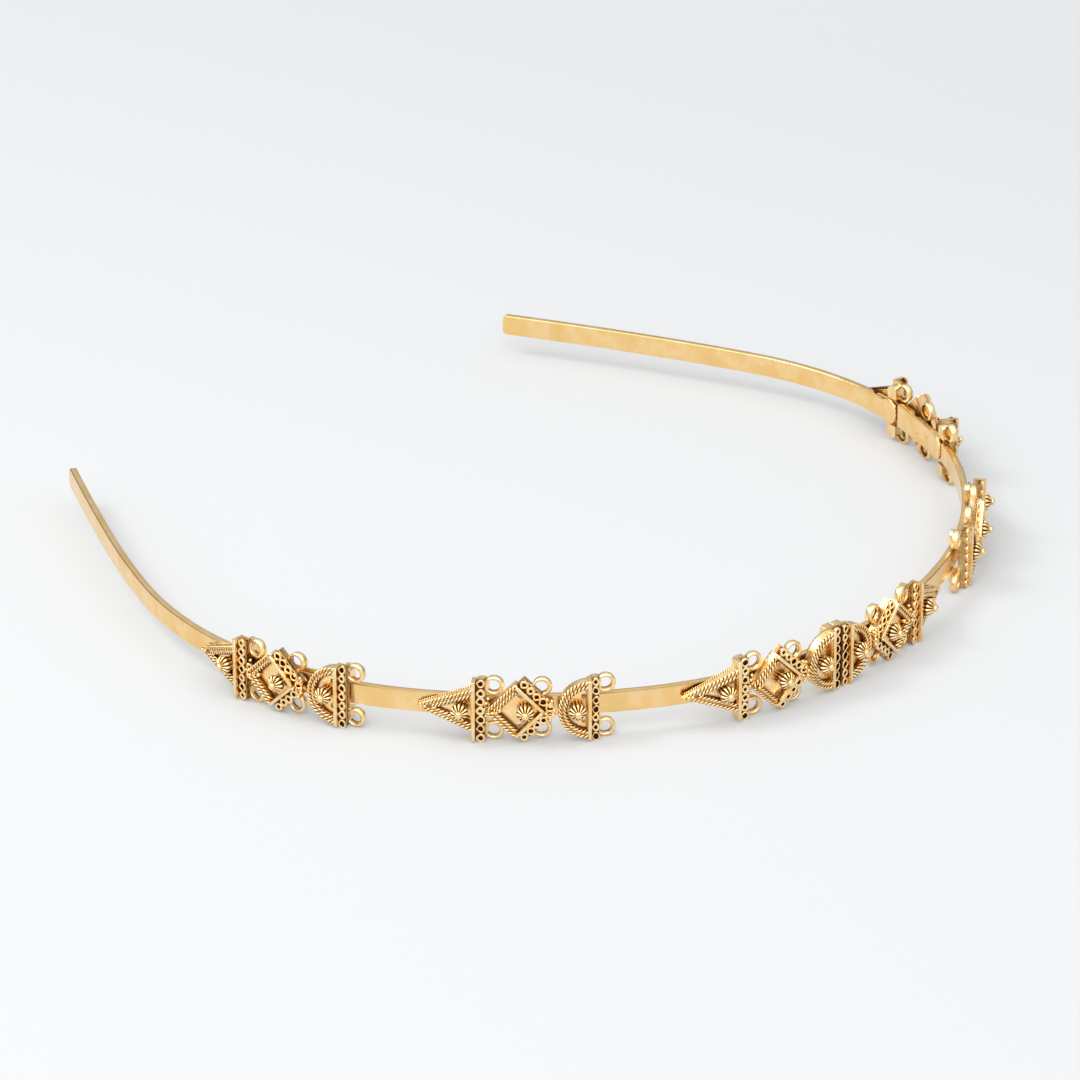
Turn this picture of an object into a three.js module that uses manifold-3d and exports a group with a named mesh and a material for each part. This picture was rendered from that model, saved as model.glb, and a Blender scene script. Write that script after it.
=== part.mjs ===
// Open gold diadem: a slim flat band bent to a horseshoe, standing on edge, with eighteen
// box ornaments in five groups on its outer face.  Millimetres, +Z up.  The middle group
// faces -Y and the two free arms run towards +Y.
import * as THREE from 'three';
import { mergeVertices } from 'three/addons/utils/BufferGeometryUtils.js';
import Module from 'manifold-3d';

// ---- driving dimensions ----
const gap = 0.3; // clearance between neighbouring pieces

const band = { height: 3.8, thickness: 1.25, endRound: 0.9, step: 4.5 };

// The bend of the band from its middle outwards.  It was bent by hand, so the two
// halves differ a little: each row is one arc, with its radius on either half.
const bends = [
  { length: 35, right: 90, left: 67 },
  { length: 40, right: 80, left: 92 },
  { length: 40, right: 62, left: 62 },
  { length: 25, right: 62, left: 74 },
  { length: 20, right: 330, left: 225 },
  { length: 30, right: 500, left: 750 },
];

// Half laps: a rounded tongue lies in a step on the inner face of the next piece.  The
// faces are measured outwards from the band's middle line.
const lap = { tongueInner: -0.9, tongueOuter: -0.25, stepInner: -0.05, stepClear: 0.15, ramp: 1.5 };
const link = { start: 87.5, end: 111.5, halfHeight: 2.3 };
const arm = { start: 105, end: 190, disc: 2.45 };
const frontEnd = 99; // half length of the front band, hidden behind the link's tongue

// Where the diamond of each group sits along the band, on either half
const groups = [
  { name: 'centre', right: 13.35, left: 13.35 },
  { name: 'front', right: 56.3, left: 57.6 },
  { name: 'side', right: 99.8, left: 99.8 },
];
const triangleAfter = 7.75; // from a diamond's seat to the triangle's bar
const halfRoundBefore = 11.4; // from the half-round's bar to the diamond's seat

// Ornaments.  Depths are measured outwards from the band's middle line.
const depth = { back: 0.95, plate: 2.0, row: 2.75, rim: 3.05, bar: 3.3, tab: -0.6 };
const bar = { halfHeight: 5.55, width: 0.65, from: 2.1 };
const row = { triangle: 1.65, halfRound: 1.4, centrePair: 1.5, halfLength: 5.5 };
const tab = { top: 5.3, notch: 2.65, corner: 0.55 };

// Loops lie beside the band; the hole of each is shifted towards its box.
const loop = { outer: 1.72, inner: 1.1, shift: 0.18, from: 0.15, to: 1.45, steps: 10 };

// The well inside each rim is the outline scaled about a point; seat is where the box
// lies flat against the band, loopAt how far the loops lie behind the bar.  An opening is
// a hole through the plate above and below the boss: its middle, its half sizes, its lean.
const triangle = {
  length: 9.85,
  halfHeight: 3.95,
  seat: 3,
  loopAt: 3.35,
  loopHigh: 4.15,
  lower: 0.3, // share of its depth that the box loses from the bar to the tip
  well: { centre: 1.05, scale: 0.57 },
  opening: { along: 1.05, up: 1.45, halfLength: 0.4, halfHeight: 0.28, lean: 0 },
};
const halfRound = {
  radius: 5.2,
  seat: 1,
  loopAt: 2.9,
  loopHigh: 4.15,
  steps: 10,
  well: { centre: 1.55, scale: 0.71 },
  opening: { along: 0.95, up: 2.25, halfLength: 0.36, halfHeight: 0.5, lean: 0 },
};
const diamond = {
  tip: 5.8, // outer corner, ahead of the seat
  half: 5.07, // half of the square's diagonal
  seat: 0,
  loopAt: 3.7,
  loopHigh: 3.87,
  well: { centre: -1.33, scale: 0.718 },
  opening: { along: -0.2, up: 2.35, halfLength: 0.52, halfHeight: 0.28, lean: 45 },
  // Upper half of the rows of rings and bars on the inner side, from the top end
  inner: [[-0.8, 5.9], [-5.9, 0.8], [-5.9, 0], [-3.4, 0], [1.0, 4.4], [1.4, 4.8], [0.4, 5.9]],
};
const boss = { radius: 1.6, knob: 0.62, base: 2.3, root: 1.1, shoulder: 3.5, crown: 4.45, tip: 5.3, ribs: 12 };
const bossAt = { triangle: 2.3, diamond: -0.85, halfRound: 2.1 };

// The ornaments were soldered on by eye: how far each sits from its regular place, away
// from the diadem's middle, upwards and outwards.
const handSet = {
  triangle_centre_left: { along: -0.35, up: 0, out: 0.2 },
  diamond_centre_left: { along: -0.25, up: 0, out: 0.3 },
  half_round_centre_left: { along: -0.05, up: 0.1, out: 0.2 },
  half_round_centre_right: { along: 0.2, up: -0.1, out: 0.2 },
  diamond_centre_right: { along: 0.4, up: 0, out: 0.3 },
  triangle_centre_right: { along: 0.6, up: 0, out: 0.3 },
  triangle_front_left: { along: -0.2, up: 0, out: 0 },
  half_round_front_right: { along: 0.1, up: 0, out: 0.3 },
  diamond_front_right: { along: 0.1, up: 0, out: 0.3 },
  triangle_front_right: { along: 0, up: 0, out: 0.3 },
  half_round_side_left: { along: -0.2, up: 0, out: 0 },
  triangle_side_right: { along: 0.5, up: 0, out: 0 },
  diamond_side_right: { along: 0.5, up: 0, out: 0 },
  half_round_side_right: { along: 0.6, up: 0, out: 0 },
};
const regular = { along: 0, up: 0, out: 0 };

const gold = { color: 0xd9a862, metalness: 1, roughness: 0.3 };

const wasm = await Module();
wasm.setup();

// ---- the band's middle line ----

// Point and heading at a distance from the middle; negative distances run to the left.
function station(distance) {
  const side = Math.sign(distance) || 1;
  const half = side > 0 ? 'right' : 'left';
  let left = Math.abs(distance);
  let x = 0;
  let y = 0;
  let turn = 0;
  for (const bend of bends) {
    const length = Math.min(left, bend.length);
    const radius = bend[half];
    const next = turn + length / radius;
    x += radius * (Math.sin(next) - Math.sin(turn));
    y += radius * (Math.cos(turn) - Math.cos(next));
    turn = next;
    left -= length;
  }
  return { x: side * x, y, turn: side * turn };
}

// A strip with sections at the given distances, carried onto the bent band.  Its half
// height, thickness and inward step may change along the way.
function strip(side, distances, halfHeight, thickness, inset) {
  const count = distances.length - 1;
  const geometry = new THREE.BoxGeometry(count, 2, 1, count, 1, 1);
  const points = geometry.attributes.position;
  for (let i = 0; i < points.count; i += 1) {
    const along = distances[Math.round(points.getX(i) + count / 2)];
    const out = points.getZ(i) * thickness(along) + inset(along);
    const at = station(side * along);
    const x = at.x + out * Math.sin(at.turn);
    const y = at.y - out * Math.cos(at.turn);
    points.setXYZ(i, x, y, points.getY(i) * halfHeight(along));
  }
  const bare = plainMesh(geometry);
  if (side < 0) {
    bare.setIndex(Array.from(bare.index.array).reverse());
  }
  bare.computeVertexNormals();
  return bare;
}

// ---- solids ----

// Straight extrusion of a shape between two depths.
function slab(shape, from, to, curveSegments = 6) {
  const geometry = new THREE.ExtrudeGeometry(shape, {
    depth: to - from,
    bevelEnabled: false,
    curveSegments,
  });
  return geometry.translate(0, 0, from);
}

function plainMesh(geometry) {
  geometry.deleteAttribute('normal');
  geometry.deleteAttribute('uv');
  return mergeVertices(geometry, 1e-4);
}

// Bare closed mesh as a solid for joining
function toSolid(geometry) {
  const bare = plainMesh(geometry);
  const triVerts = new Uint32Array(bare.index.array);
  const vertProperties = new Float32Array(bare.attributes.position.array);
  return new wasm.Manifold(new wasm.Mesh({ numProp: 3, vertProperties, triVerts }));
}

function toGeometry(solid) {
  const mesh = solid.getMesh();
  const geometry = new THREE.BufferGeometry();
  geometry.setAttribute('position', new THREE.BufferAttribute(mesh.vertProperties, 3));
  geometry.setIndex(new THREE.BufferAttribute(mesh.triVerts, 1));
  geometry.computeVertexNormals();
  return geometry;
}

function joined(geometries) {
  return toGeometry(geometries.map(toSolid).reduce((sum, next) => sum.add(next)));
}

// ---- outlines, as length and height ----

// Points as vectors, counterclockwise on either side of the diadem.
function loopOf(points) {
  const vectors = points.map(([x, y]) => new THREE.Vector2(x, y));
  return THREE.ShapeUtils.isClockWise(vectors) ? vectors.reverse() : vectors;
}

function polygon(points) {
  return new THREE.Shape(loopOf(points));
}

function rectangle(x0, x1, y0, y1) {
  return polygon([[x0, y0], [x1, y0], [x1, y1], [x0, y1]]);
}

// Closed outline with its well cut out of it
function rimShape(side, points, well) {
  const shape = polygon(points);
  const centre = side * well.centre;
  const inner = points.map(([x, y]) => [centre + (x - centre) * well.scale, y * well.scale]);
  shape.holes.push(new THREE.Path(loopOf(inner)));
  return shape;
}

// Plate with an opening above and one below its boss
function plateShape(side, points, opening) {
  const shape = polygon(points);
  const { along, up, halfLength, halfHeight, lean } = opening;
  for (const way of [1, -1]) {
    const angle = side * way * THREE.MathUtils.degToRad(lean);
    const corners = [[1, 0], [0, 1], [-1, 0], [0, -1]].map(([a, b]) => {
      const corner = new THREE.Vector2(a * halfLength * 1.3, b * halfHeight * 1.3);
      corner.rotateAround(new THREE.Vector2(), angle);
      return [side * along + corner.x, way * up + corner.y];
    });
    shape.holes.push(new THREE.Path(loopOf(corners)));
  }
  return shape;
}

function ringShape(x, y, side) {
  const shape = new THREE.Shape();
  shape.absarc(side * x, y, loop.outer, 0, 2 * Math.PI, false);
  const hole = new THREE.Path();
  hole.absarc(side * (x + loop.shift), y, loop.inner, 0, 2 * Math.PI, true);
  shape.holes.push(hole);
  return shape;
}

// Evenly spaced distances from one end to the other, both included.
function steps(from, to, size) {
  const count = Math.max(1, Math.round(Math.abs(to - from) / size));
  return Array.from({ length: count + 1 }, (_, i) => from + ((to - from) * i) / count);
}

// ---- band pieces ----

// Section rows along a piece: distance, inner face, outer face, half height.  Between rows
// every column runs straight, and long plain stretches get extra sections.
function sectionStrip(side, rows) {
  const distances = [rows[0][0]];
  for (let i = 1; i < rows.length; i += 1) {
    distances.push(...steps(rows[i - 1][0], rows[i][0], band.step).slice(1));
  }
  const column = (k) => (d) => {
    const i = Math.min(rows.length - 1, Math.max(1, rows.findIndex((r) => r[0] >= d)));
    const t = (d - rows[i - 1][0]) / (rows[i][0] - rows[i - 1][0]);
    return rows[i - 1][k] + (rows[i][k] - rows[i - 1][k]) * t;
  };
  const inner = column(1);
  const outer = column(2);
  return strip(side, distances, column(3), (d) => outer(d) - inner(d), (d) => (outer(d) + inner(d)) / 2);
}

const face = band.thickness / 2;
const waist = band.height / 2;

// The step that takes a tongue starting at the given distance, up to where this piece ends
function steppedEnd(tongueStart, end, before) {
  return [
    [tongueStart - 2 * lap.stepClear, -face, face, before],
    [tongueStart - lap.stepClear, lap.stepInner, face, waist],
    [end, lap.stepInner, face, waist],
  ];
}

// Rounded start of a tongue, then its return to the full band past the piece below it
function tongue(start, below, radius, plain) {
  const { tongueInner, tongueOuter, ramp } = lap;
  const rounding = [14, 40, 65].map((degrees) => {
    const angle = THREE.MathUtils.degToRad(degrees);
    return [start + radius * (1 - Math.cos(angle)), tongueInner, tongueOuter, radius * Math.sin(angle)];
  });
  return [
    ...rounding,
    [start + radius, tongueInner, tongueOuter, radius],
    [start + 2 * radius - 0.8, tongueInner, tongueOuter, plain],
    [below + gap, tongueInner, tongueOuter, plain],
    [below + gap + ramp, -face - 0.15, face, plain],
  ];
}

function frontBand() {
  const half = [[0, -face, face, waist], ...steppedEnd(link.start, frontEnd, waist)];
  const mirrored = half.slice(1).reverse().map(([d, ...rest]) => [-d, ...rest]);
  return sectionStrip(1, [...mirrored, ...half]);
}

function linkPiece(side) {
  const { start, end, halfHeight } = link;
  const rows = [
    ...tongue(start, frontEnd, halfHeight, halfHeight),
    ...steppedEnd(arm.start, end, halfHeight),
  ];
  return sectionStrip(side, rows);
}

// An arm ends in a square tip with rounded corners.
function armPiece(side) {
  const { start, end, disc } = arm;
  const rows = [
    ...tongue(start, link.end, disc, waist),
    [end - 70, -face, face, waist],
    [end - band.endRound, -face, face, waist],
    [end - 0.3 * band.endRound, -face, face, waist - 0.3 * band.endRound],
    [end, -face, face, waist - band.endRound],
  ];
  return sectionStrip(side, rows);
}

// ---- ornaments: +length points away from the diadem's middle on either side ----

// Backward tab with rounded outer corners, above or below the band
function tabShape(side, x0, x1, upward) {
  const r = tab.corner;
  const [left, right] = side > 0 ? [x0, x1] : [-x1, -x0];
  const shape = new THREE.Shape();
  shape.moveTo(left, upward * tab.notch);
  shape.lineTo(right, upward * tab.notch);
  shape.lineTo(right, upward * (tab.top - r));
  shape.quadraticCurveTo(right, upward * tab.top, right - r, upward * tab.top);
  shape.lineTo(left + r, upward * tab.top);
  shape.quadraticCurveTo(left, upward * tab.top, left, upward * (tab.top - r));
  return shape;
}

// Upright bar, the row of rings behind it, and the tabs that clasp the band from behind
function barParts(side, rowWidth) {
  const half = bar.width / 2;
  const rowEnd = -half - rowWidth;
  const upright = rectangle(-half, half, -bar.halfHeight, bar.halfHeight);
  const rings = rectangle(side * rowEnd, side * 0.5 * half, -row.halfLength, row.halfLength);
  return [
    slab(upright, bar.from, depth.bar),
    slab(rings, depth.back + gap, depth.row),
    slab(tabShape(side, rowEnd, -half, 1), depth.tab, depth.row - gap, 1),
    slab(tabShape(side, rowEnd, -half, -1), depth.tab, depth.row - gap, 1),
  ];
}

function loopParts(side, places) {
  return places.map(([x, y]) => slab(ringShape(x, y, side), loop.from, loop.to, loop.steps / 2));
}

function boxParts(side, points, well, opening) {
  const plate = slab(plateShape(side, points, opening), depth.back, depth.plate);
  const rim = slab(rimShape(side, points, well), depth.back + gap, depth.rim);
  return [plate, rim];
}

// Takes a share of the depth away, growing along the length
function lowered(geometry, share, length) {
  const points = geometry.attributes.position;
  for (let i = 0; i < points.count; i += 1) {
    points.setZ(i, points.getZ(i) * (1 - (share * Math.abs(points.getX(i))) / length));
  }
  return geometry;
}

function triangleBox(side) {
  const { length, halfHeight, loopAt, loopHigh, lower, well, opening } = triangle;
  const points = [[0, -halfHeight], [side * length, 0], [0, halfHeight]];
  return joined([
    ...boxParts(side, points, well, opening).map((part) => lowered(part, lower, length)),
    ...barParts(side, row.triangle),
    ...loopParts(side, [[-loopAt, loopHigh], [-loopAt, -loopHigh]]),
  ]);
}

function diamondBox(side) {
  const { tip, half, inner, loopAt, loopHigh, well, opening } = diamond;
  const middle = tip - half;
  const points = [[tip, 0], [middle, half], [middle - half, 0], [middle, -half]];
  const sloping = (upward) => polygon(inner.map(([x, y]) => [side * x, upward * y]));
  return joined([
    ...boxParts(side, points.map(([x, y]) => [side * x, y]), well, opening),
    slab(sloping(1), depth.back + gap, depth.row),
    slab(sloping(-1), depth.back + gap, depth.row),
    ...loopParts(side, [[-loopAt, loopHigh], [-loopAt, -loopHigh]]),
  ]);
}

function halfRoundBox(side, centrePair) {
  const { radius, loopAt, loopHigh, well, opening } = halfRound;
  const points = Array.from({ length: halfRound.steps + 1 }, (_, i) => {
    const angle = -Math.PI / 2 + (Math.PI * i) / halfRound.steps;
    return [side * radius * Math.cos(angle), radius * Math.sin(angle)];
  });
  const loops = centrePair ? [] : loopParts(side, [[-loopAt, loopHigh], [-loopAt, -loopHigh]]);
  const rowWidth = centrePair ? row.centrePair : row.halfRound;
  return joined([...boxParts(side, points, well, opening), ...barParts(side, rowWidth), ...loops]);
}

// Ribbed bud with a knob; its outline is turned about the depth axis.
function bossGeometry() {
  const profile = [
    [0, boss.base],
    [boss.root, boss.base],
    [boss.radius, boss.shoulder],
    [0.8 * boss.radius, 0.5 * (boss.shoulder + boss.crown) + 0.15],
    [boss.knob, boss.crown],
    [boss.knob, boss.tip - 0.3],
    [0, boss.tip],
  ];
  const outline = profile.map(([r, d]) => new THREE.Vector2(r, d));
  return plainMesh(new THREE.LatheGeometry(outline, boss.ribs).rotateX(Math.PI / 2));
}

// ---- assembly ----

const diadem = new THREE.Group();
const midHeight = diamond.inner[0][1];

function addPiece(name, geometry, shade) {
  const finish = { ...gold, color: new THREE.Color(gold.color).multiplyScalar(shade) };
  const mesh = new THREE.Mesh(geometry, new THREE.MeshStandardMaterial(finish));
  mesh.name = name;
  diadem.add(mesh);
  return mesh;
}

// Turns a piece so that its length follows the band, its height is up and its depth points out.
function seat(mesh, distance, along, drift) {
  const { x, y, turn } = station(distance);
  const tangent = new THREE.Vector3(Math.cos(turn), Math.sin(turn), 0);
  const outwards = new THREE.Vector3(Math.sin(turn), -Math.cos(turn), 0);
  const upwards = new THREE.Vector3(0, 0, 1);
  mesh.quaternion.setFromRotationMatrix(new THREE.Matrix4().makeBasis(tangent, upwards, outwards));
  mesh.position.set(x, y, midHeight + drift.up);
  mesh.position.addScaledVector(tangent, along + Math.sign(distance) * drift.along);
  mesh.position.addScaledVector(outwards, drift.out);
}

function addBandPiece(name, geometry) {
  addPiece(name, geometry, 1).position.z = midHeight;
}

// One ornament and its boss.  The box lies flat against the band at its own seat.
function addOrnament(name, geometry, side, barDistance, seatShift, bossShift) {
  const distance = side * (barDistance + seatShift);
  const drift = handSet[name] ?? regular;
  seat(addPiece(name, geometry, 0.95), distance, -side * seatShift, drift);
  const bossMesh = addPiece(`${name}_boss`, bossGeometry(), 0.85);
  seat(bossMesh, distance, side * (bossShift - seatShift), drift);
}

addBandPiece('front_band', frontBand());

for (const [side, hand] of [[1, 'right'], [-1, 'left']]) {
  addBandPiece(`link_${hand}`, linkPiece(side));
  addBandPiece(`arm_${hand}`, armPiece(side));
  for (const group of groups) {
    const label = `${group.name}_${hand}`;
    const middle = group[hand];
    const triangleBar = middle + triangleAfter;
    const halfRoundBar = middle - halfRoundBefore;
    const centrePair = group.name === 'centre';
    const triangleMesh = triangleBox(side);
    const diamondMesh = diamondBox(side);
    const halfRoundMesh = halfRoundBox(side, centrePair);
    addOrnament(`triangle_${label}`, triangleMesh, side, triangleBar, triangle.seat, bossAt.triangle);
    addOrnament(`diamond_${label}`, diamondMesh, side, middle, diamond.seat, bossAt.diamond);
    addOrnament(`half_round_${label}`, halfRoundMesh, side, halfRoundBar, halfRound.seat, bossAt.halfRound);
  }
}

// The origin is the middle of the outer box, on the surface that the diadem lies on.
const box = new THREE.Box3().setFromObject(diadem);
const centre = box.getCenter(new THREE.Vector3());
diadem.position.set(-centre.x, -centre.y, -box.min.z);
diadem.updateMatrixWorld(true);

export default diadem;
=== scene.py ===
# Gold diadem: a slim bent band with links and arms, and eighteen soldered filigree ornaments
# in five groups.  Lengths are in millimetres until a piece is made, then in metres.
import math
import random

import bpy
import numpy as np
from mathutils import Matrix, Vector
from mathutils.geometry import delaunay_2d_cdt


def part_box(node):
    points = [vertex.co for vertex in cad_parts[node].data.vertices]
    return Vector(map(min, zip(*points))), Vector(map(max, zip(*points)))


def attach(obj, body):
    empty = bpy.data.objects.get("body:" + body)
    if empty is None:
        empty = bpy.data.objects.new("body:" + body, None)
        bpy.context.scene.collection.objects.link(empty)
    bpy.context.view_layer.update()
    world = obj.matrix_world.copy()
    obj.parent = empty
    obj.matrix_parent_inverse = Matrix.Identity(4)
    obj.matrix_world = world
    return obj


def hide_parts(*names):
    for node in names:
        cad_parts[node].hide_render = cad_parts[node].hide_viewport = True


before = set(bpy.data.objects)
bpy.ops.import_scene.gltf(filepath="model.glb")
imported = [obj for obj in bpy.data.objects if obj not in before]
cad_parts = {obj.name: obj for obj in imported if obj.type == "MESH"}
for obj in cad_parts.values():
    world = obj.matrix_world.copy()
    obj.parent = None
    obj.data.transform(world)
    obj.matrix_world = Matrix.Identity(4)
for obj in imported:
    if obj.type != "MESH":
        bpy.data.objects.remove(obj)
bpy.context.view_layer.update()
mm = 0.001
random.seed(7)
print("frame loaded:", len(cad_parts), "solids")

# The band's middle line was bent by hand, so its two halves differ a little
band = {
    "height": 3.8,
    "thickness": 1.25,
    "edgeRound": 0.2,
    "leastFlat": 0.02,
    "edgeShade": (0.05, 0.5, 0.7, 0.5, 0.05),  # painted shade across the rounded upper outer edge
    "bends": [  # arc length, radius on the right half, radius on the left half
        (35, 90, 67), (40, 80, 92), (40, 62, 62), (25, 62, 74), (20, 330, 225), (30, 500, 750),
    ],
    "frontEnd": 99,
    "tipRound": 0.9,
    "spacing": 0.8,  # longest stretch between two sections
    "sharp": 38,
}
# Half laps: a rounded tongue lies in a step on the inner face of the next piece
lap = {
    "tongueInner": -0.9, "tongueOuter": -0.25, "turns": (8, 16, 25, 34, 43, 52, 61, 70, 79),
    "ease": 0.5, "easeShare": 0.3, "cut": 0.8,  # the disc narrows a little before its full length
    "gap": 0.3, "ramp": 1.5, "proud": 0.15,
    # the seam's value is a painted shadow under the tongue's end
    "stepInner": -0.05, "stepClear": 0.15, "seamShadow": 0.9,
}
link = {
    "start": 87.5, "end": 111.5, "halfHeight": 2.3,
    "dots": [(93.2, 0.4), (97.4, -0.5)], "dotRadius": 0.2, "dotSunk": 0.05,
}
arm = {"start": 105, "end": 190, "disc": 2.45, "plainFrom": 120}


def station(distance):
    # point and heading at a distance from the middle; negative distances run to the left
    side = 1 if distance >= 0 else -1
    left, x, y, turn = abs(distance), 0.0, 0.0, 0.0
    for length, rightRadius, leftRadius in band["bends"]:
        radius = rightRadius if side > 0 else leftRadius
        after = turn + min(left, length) / radius
        x += radius * (math.sin(after) - math.sin(turn))
        y += radius * (math.cos(turn) - math.cos(after))
        turn = after
        left -= min(left, length)
    return side * x, y, side * turn


def bandShift(steps=200):
    # from the band's own frame to the model's: the front band fills its box in both
    lines = [station(band["frontEnd"] * k / steps) for k in range(-steps, steps + 1)]
    half = band["thickness"] / 2
    xs = [x + out * math.sin(t) for x, y, t in lines for out in (0, half)]
    low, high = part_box("front_band")
    middleX = (low.x + high.x) / 2 / mm - (min(xs) + max(xs)) / 2
    return np.array([middleX, low.y / mm + half, (low.z + high.z) / 2 / mm])


toModel = bandShift()


class Metalwork:
    # gathers the corners, faces and the tarnish and painted shade of one soldered piece, along, up and out
    # of the band
    def __init__(self, side=1):
        self.side = side
        self.corners, self.faces, self.tarnish, self.count = [], [], [], 0

    def add(self, corners, faces, tarnish):
        corners = np.asarray(corners, float)
        self.corners.append(corners)
        self.faces += [tuple(i + self.count for i in face) for face in faces]
        self.tarnish.append(np.broadcast_to(np.asarray(tarnish, float), (len(corners),)))
        self.count += len(corners)

    def grid(self, sections, tarnish, closedAlong=False):
        # sections x points x 3, each section a closed outline; the two ends are closed too,
        # unless the sections themselves come round in a ring
        sections = np.asarray(sections, float)
        n, m = sections.shape[:2]
        faces = []
        for i in range(n if closedAlong else n - 1):
            a, b = i * m, ((i + 1) % n) * m
            for j in range(m):
                k = (j + 1) % m
                faces.append((a + j, a + k, b + k, b + j))
        if not closedAlong:
            faces.append(tuple(range(m))[::-1])
            faces.append(tuple((n - 1) * m + j for j in range(m)))
        self.add(sections.reshape(-1, 3), faces, np.asarray(tarnish, float).reshape(-1))


def makePiece(name, work, toWorld, material, node, sharp):
    # turns gathered metalwork into an object that stands for its CAD node; edges turning
    # more than the sharp angle stay crisp
    corners = np.concatenate(work.corners)
    corners[:, 0] *= work.side
    faces = work.faces if work.side > 0 else [face[::-1] for face in work.faces]
    world = toWorld(corners) * mm
    mesh = bpy.data.meshes.new(name)
    mesh.from_pydata(world.tolist(), [], faces)
    # the tarnish attribute holds the amber tone and the painted shade that darkens crevices, feet and
    # seams
    layer = mesh.attributes.new("tarnish", "FLOAT", "POINT")
    layer.data.foreach_set("value", np.concatenate(work.tarnish).astype(np.float32))
    grain = mesh.attributes.new("grain", "FLOAT_VECTOR", "POINT")
    grain.data.foreach_set("vector", corners.astype(np.float32).reshape(-1))
    mesh.materials.append(material)
    mesh.shade_smooth()
    mesh.set_sharp_from_angle(angle=math.radians(sharp))
    piece = bpy.data.objects.new(name, mesh)
    bpy.context.scene.collection.objects.link(piece)
    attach(piece, "root")
    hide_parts(node)


def smooth(t):
    # rises softly from 0 to 1
    t = np.clip(t, 0, 1)
    return t * t * (3 - 2 * t)


class Value:
    # a socket in a material's node tree; expressions on it add Math nodes
    def __init__(self, tree, socket):
        self.tree, self.socket = tree, socket

    def math(self, operation, *others):
        return self.tree.add("ShaderNodeMath", {"operation": operation}, {
            i: v for i, v in enumerate((self,) + others)})

    def __add__(self, other):
        return self.math("ADD", other)

    __radd__ = __add__

    def __mul__(self, other):
        return self.math("MULTIPLY", other)

    __rmul__ = __mul__

    def __sub__(self, other):
        return self.math("SUBTRACT", other)

    def __rsub__(self, other):
        return self.tree.add("ShaderNodeMath", {"operation": "SUBTRACT"}, {0: other, 1: self})

    def clamp(self):
        return self.math("MINIMUM", 1.0).math("MAXIMUM", 0.0)


class Nodes:
    # adds nodes: type, settings first, then the values or links of its sockets
    def __init__(self, owner):
        owner.use_nodes = True
        self.tree = owner.node_tree
        self.shader = self.tree.nodes.get("Principled BSDF") or self.tree.nodes.get("Background")

    def add(self, kind, settings=None, sockets=None, output=0):
        node = self.tree.nodes.new(kind)
        for key, value in (settings or {}).items():
            if key == "stops":
                self.setStops(node, value)
            else:
                setattr(node, key, value)
        self.connect(node, sockets or {})
        return Value(self, node.outputs[output])

    def setStops(self, node, stops):
        elements = node.color_ramp.elements
        while len(elements) < len(stops):
            elements.new(0.5)
        for element, (position, color) in zip(elements, stops):
            element.position = position
            element.color = (*color, 1)

    def connect(self, node, sockets):
        for key, value in sockets.items():
            if isinstance(value, Value):
                self.tree.links.new(value.socket, node.inputs[key])
            else:
                node.inputs[key].default_value = value

    def mixColor(self, factor, first, second):
        second = (*second, 1) if isinstance(second, tuple) else second
        first = (*first, 1) if isinstance(first, tuple) else first
        return self.add("ShaderNodeMix", {"data_type": "RGBA"}, {0: factor, 6: first, 7: second}, 2)

    def noise(self, vector, scale, detail=3.0, roughness=0.55):
        return self.add("ShaderNodeTexNoise", {}, {
            "Vector": vector, "Scale": scale, "Detail": detail, "Roughness": roughness})

    def dot(self, vector, way):
        return self.add("ShaderNodeVectorMath", {"operation": "DOT_PRODUCT"}, {0: vector, 1: way}, 1)

    def ramp(self, factor, *stops):
        return self.add("ShaderNodeValToRGB", {"stops": stops}, {"Fac": factor})

    def grain(self, stretch=(1, 1, 1)):
        place = self.add("ShaderNodeAttribute", {"attribute_name": "grain"}, output=1)
        return self.add("ShaderNodeVectorMath", {"operation": "MULTIPLY"}, {0: place, 1: stretch})


bandGold = {
    "face": (0.96, 0.64, 0.26),
    "pale": (0.985, 0.70, 0.35),
    "olive": (0.90, 0.61, 0.245),
    "warm": (0.96, 0.57, 0.20),
    # the next colour is painted shade, for the seam's shadow and the line along the upper edge
    "shadeColor": (0.05, 0.018, 0.005),
    "roughness": 0.2, "roughSpread": 0.25, "roughTarnish": 0.3,
    "bump": 0.1, "bumpDepth": 0.0004,
}
filigreeGold = {
    "raised": (1.0, 0.675, 0.29),
    "pale": (1.0, 0.80, 0.47),
    "amber": (0.64, 0.29, 0.06),
    # the next colour is painted shade, for crevices, feet and pits
    "shadeColor": (0.08, 0.025, 0.004),
    "roughness": 0.09, "roughSpread": 0.15, "roughTarnish": 0.3,
    "wear": 0.24,
    "bump": 0.45, "bumpDepth": 0.0001,
}


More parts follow.
